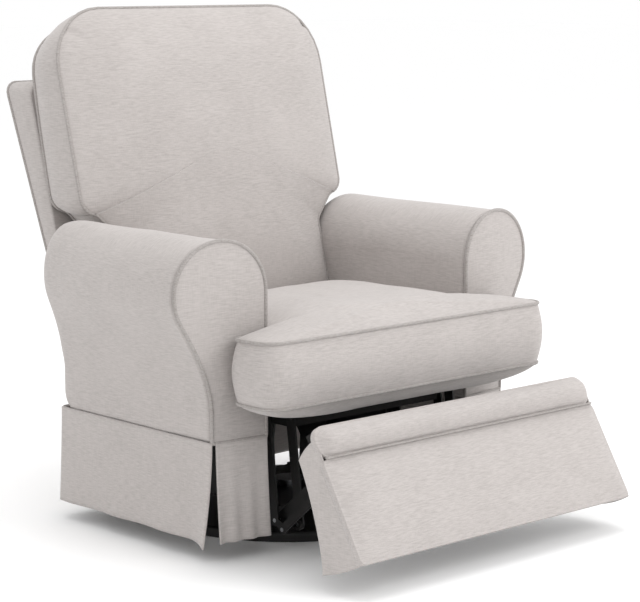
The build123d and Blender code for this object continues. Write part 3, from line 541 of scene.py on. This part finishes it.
apron_faces = [np.stack([spread[..., 0], np.full(spread.shape[:-1], y), spread[..., 1]], -1)
               for y in (apron_low[1], apron_high[1])]
apron = skin("rear_apron_cloth", np.concatenate([apron_faces[0], apron_faces[1][::-1]]), linen, "carriage")
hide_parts("rear_apron")


# ---------------------------------------------------------------- footrest
# A padded board with a pillowed band above a seam and a flatter panel below it, and cloth flaps
# that fold back round its sides and swing out towards the hem.
low, high = (np.array(v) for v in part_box("footrest_pad"))
tilt = radians(31.0)
thickness, band = 0.020, 0.060
face_length = (high[2] - low[2] - thickness * sin(tilt)) / cos(tilt)
face_top = np.array([low[1] + face_length * sin(tilt), high[2]])
down = np.array([-sin(tilt), -cos(tilt)])
inward = np.array([cos(tilt), -sin(tilt)])
reach = high[0]


def on_footrest(x, drop, depth):
    """x across, drop down the face from its top, depth in behind the face."""
    x, drop, depth = np.broadcast_arrays(x, drop, depth)
    y = face_top[0] + down[0] * drop + inward[0] * depth
    z = face_top[1] + down[1] * drop + inward[1] * depth
    return np.stack([x, y, z], -1)


def pillow(name, drop0, drop1, swell, corner, seed):
    """A rounded slab from drop0 to drop1 down the face: the crown's formula, times swell, outwards."""
    loop = rounded([(-reach, drop0), (reach, drop0), (reach, drop1), (-reach, drop1)], [corner] * 4, 0.006)
    middle = np.array([0, (drop0 + drop1) / 2])
    share = (1 - (1 - np.linspace(0.02, 1, 26)) ** 1.6)[:, None, None]
    spread = middle + (loop - middle) * share
    rise = crown(depth_inside(spread, loop), min(0.045, (drop1 - drop0) / 2))
    soft = wrinkle(np.dstack([spread, 0 * spread[..., :1]]), 0.13, seed) * 0.0015
    front = on_footrest(spread[..., 0], spread[..., 1], 0.009 - (swell + soft) * rise)
    rear = on_footrest(spread[..., 0], spread[..., 1], thickness + 0 * rise)
    obj = skin(name, np.concatenate([front, rear[::-1]]), linen, "footrest")
    return obj


pillow("footrest_top_band", 0.0, band, swell=0.022, corner=0.026, seed=31)
lower_pad = pillow("footrest_lower_panel", band + 0.001, face_length, swell=0.008, corner=0.010, seed=33)
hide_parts("footrest_pad")
s = np.linspace(-1, 1, 160)
seam = on_footrest((reach - 0.006) * s, band, 0.0045)
cord = piping("footrest_seam_piping", seam, 0.0020, (0, -1, 0.4), piping_cloth_painted_shade, "footrest", closed=False)

# Each flap starts a shoulder's height below the band's top, folds back along the panel's edge, and
# deepens and flares towards the hem.
flaps, shoulder = [], 0.022
for side, word in ((1, "left"), (-1, "right")):
    t = np.linspace(0, 1, 60)[:, None]
    u = np.linspace(0, 1, 24)[None]
    deep = 0.058 + 0.034 * t ** 1.4
    drop = shoulder + t * (face_length - shoulder) + 0.016 * (1 - t) * u ** 2 - 0.016 * t ** 6 * u ** 2
    flare = 0.012 * t ** 2 * np.sin(pi * u / 2)
    p = on_footrest(side * (reach - 0.003 + flare), drop, 0.010 + deep * u)
    flap = finish_piece(f"footrest_flap_{word}", p.reshape(-1, 3), sheet_faces(60, 24), linen, "footrest")
    lined(flap)
    flaps.append(flap)
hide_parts("footrest_flaps")


# ---------------------------------------------------------------- metal, wood and plastic
# Black powder-coated pressings, zinc-plated pins and springs, sawn softwood rails, nylon bushes
# and a moulded lever, with the surface that each process leaves.
def surfaced(name, light, dark, scale, rough, metal=0.0, bump=0.0002, stretch=(1, 1, 1)):
    """Noise of that scale between two colours, with its own roughness and bump."""
    m, t, bsdf = material(name)
    place = node(t, "ShaderNodeTexCoord").outputs["Object"]
    mapped = node(t, "ShaderNodeMapping", {"Scale": stretch}, Vector=place)
    speck = node(t, "ShaderNodeTexNoise", {"Scale": scale, "Detail": 4.0}, Vector=mapped.outputs[0])
    ramp = node(t, "ShaderNodeValToRGB", i0=speck.outputs[0])
    ramp.color_ramp.elements[0].position, ramp.color_ramp.elements[1].position = 0.35, 0.7
    ramp.color_ramp.elements[0].color, ramp.color_ramp.elements[1].color = linear(dark), linear(light)
    relief = node(t, "ShaderNodeBump", {"Strength": 0.4, "Distance": bump}, Height=speck.outputs[0])
    t.links.new(ramp.outputs[0], bsdf.inputs["Base Color"])
    t.links.new(relief.outputs[0], bsdf.inputs["Normal"])
    bsdf.inputs["Roughness"].default_value = rough
    bsdf.inputs["Metallic"].default_value = metal
    return m


# Powder coat has a fine orange-peel bump and zinc a soft, slightly uneven gloss. Softwood shows long
# grain with saw marks, and the mouldings are even and faintly matt.
finishes = {
    "black_steel": surfaced("powder_coated_steel_black", "#1C1B1B", "#0E0D0D", 900, 0.45, 0.3),
    "bright_steel": surfaced("zinc_plated_steel", "#B4B5B8", "#8C8E92", 300, 0.32, 1.0, 0.0001),
    "wood": surfaced("sawn_softwood", "#C9A878", "#A67F4E", 30, 0.7, 0.0, 0.0004, (1, 8, 8)),
    "bush_plastic": surfaced("moulded_nylon_natural", "#D8D4C8", "#C8C3B5", 200, 0.45),
    "lever_plastic": surfaced("moulded_plastic_black", "#232222", "#171616", 800, 0.5),
    "upholstery": linen,
}
# The seat's rails and the back's posts are wrapped in black dust cloth, which also backs the
# footrest's board.
dust_cloth = surfaced("black_dust_cloth", "#1F1D1C", "#131211", 700, 0.9)
wrapped = ("seat_rails_cross", "seat_rails_side", "footrest_board", "back_posts")
for part in frame["record"]["subparts"]:
    slots = frame["nodes"][part["node"]].data.materials
    for i in range(len(slots)):
        slots[i] = dust_cloth if part["node"] in wrapped else finishes[part["material_slot"]]


# ---------------------------------------------------------------- floor, light and camera
# A white seamless floor in an even white surround, with a large key in front on the sitter's left
# and a second large lamp overhead.
floor_size = 30
mesh = bpy.data.meshes.new("studio_floor")
mesh.from_pydata([(-floor_size, -floor_size, 0), (floor_size, -floor_size, 0), (floor_size, floor_size, 0),
                  (-floor_size, floor_size, 0)], [], [(0, 1, 2, 3)])
floor = bpy.data.objects.new("studio_floor", mesh)
bpy.context.scene.collection.objects.link(floor)
mat, _, bsdf = material("studio_paper")
bsdf.inputs["Base Color"].default_value = linear("#FFFFFF")
bsdf.inputs["Roughness"].default_value = 0.95
mesh.materials.append(mat)

world = bpy.data.worlds.new("studio")
world.use_nodes = True
world.node_tree.nodes["Background"].inputs["Color"].default_value = (1, 1, 1, 1)
world.node_tree.nodes["Background"].inputs["Strength"].default_value = 1.0
bpy.context.scene.world = world
bpy.context.scene.view_settings.view_transform = "Standard"


def softbox(name, place, power, size):
    """A square lamp of that width in metres and power in watts, aimed at the middle of the chair."""
    data = bpy.data.lights.new(name, "AREA")
    data.energy, data.size = power, size
    lamp = bpy.data.objects.new(name, data)
    lamp.location = place
    aim = Vector((0, 0, 0.5)) - lamp.location
    lamp.rotation_euler = aim.to_track_quat("-Z", "Y").to_euler()
    bpy.context.scene.collection.objects.link(lamp)


softbox("key", (1.2, -3.4, 2.6), power=52, size=2.2)
softbox("overhead", (0.0, 0.2, 3.4), power=32, size=2.6)

lens = bpy.data.cameras.new("camera")
lens.sensor_width = 36.0
lens.lens = 119.5
camera = bpy.data.objects.new("camera", lens)
camera.location = (-2.7898, -3.1162, 1.0713)
camera.rotation_euler = (radians(90 - 8.873), 0, radians(-42.703))
bpy.context.scene.collection.objects.link(camera)
bpy.context.scene.camera = camera
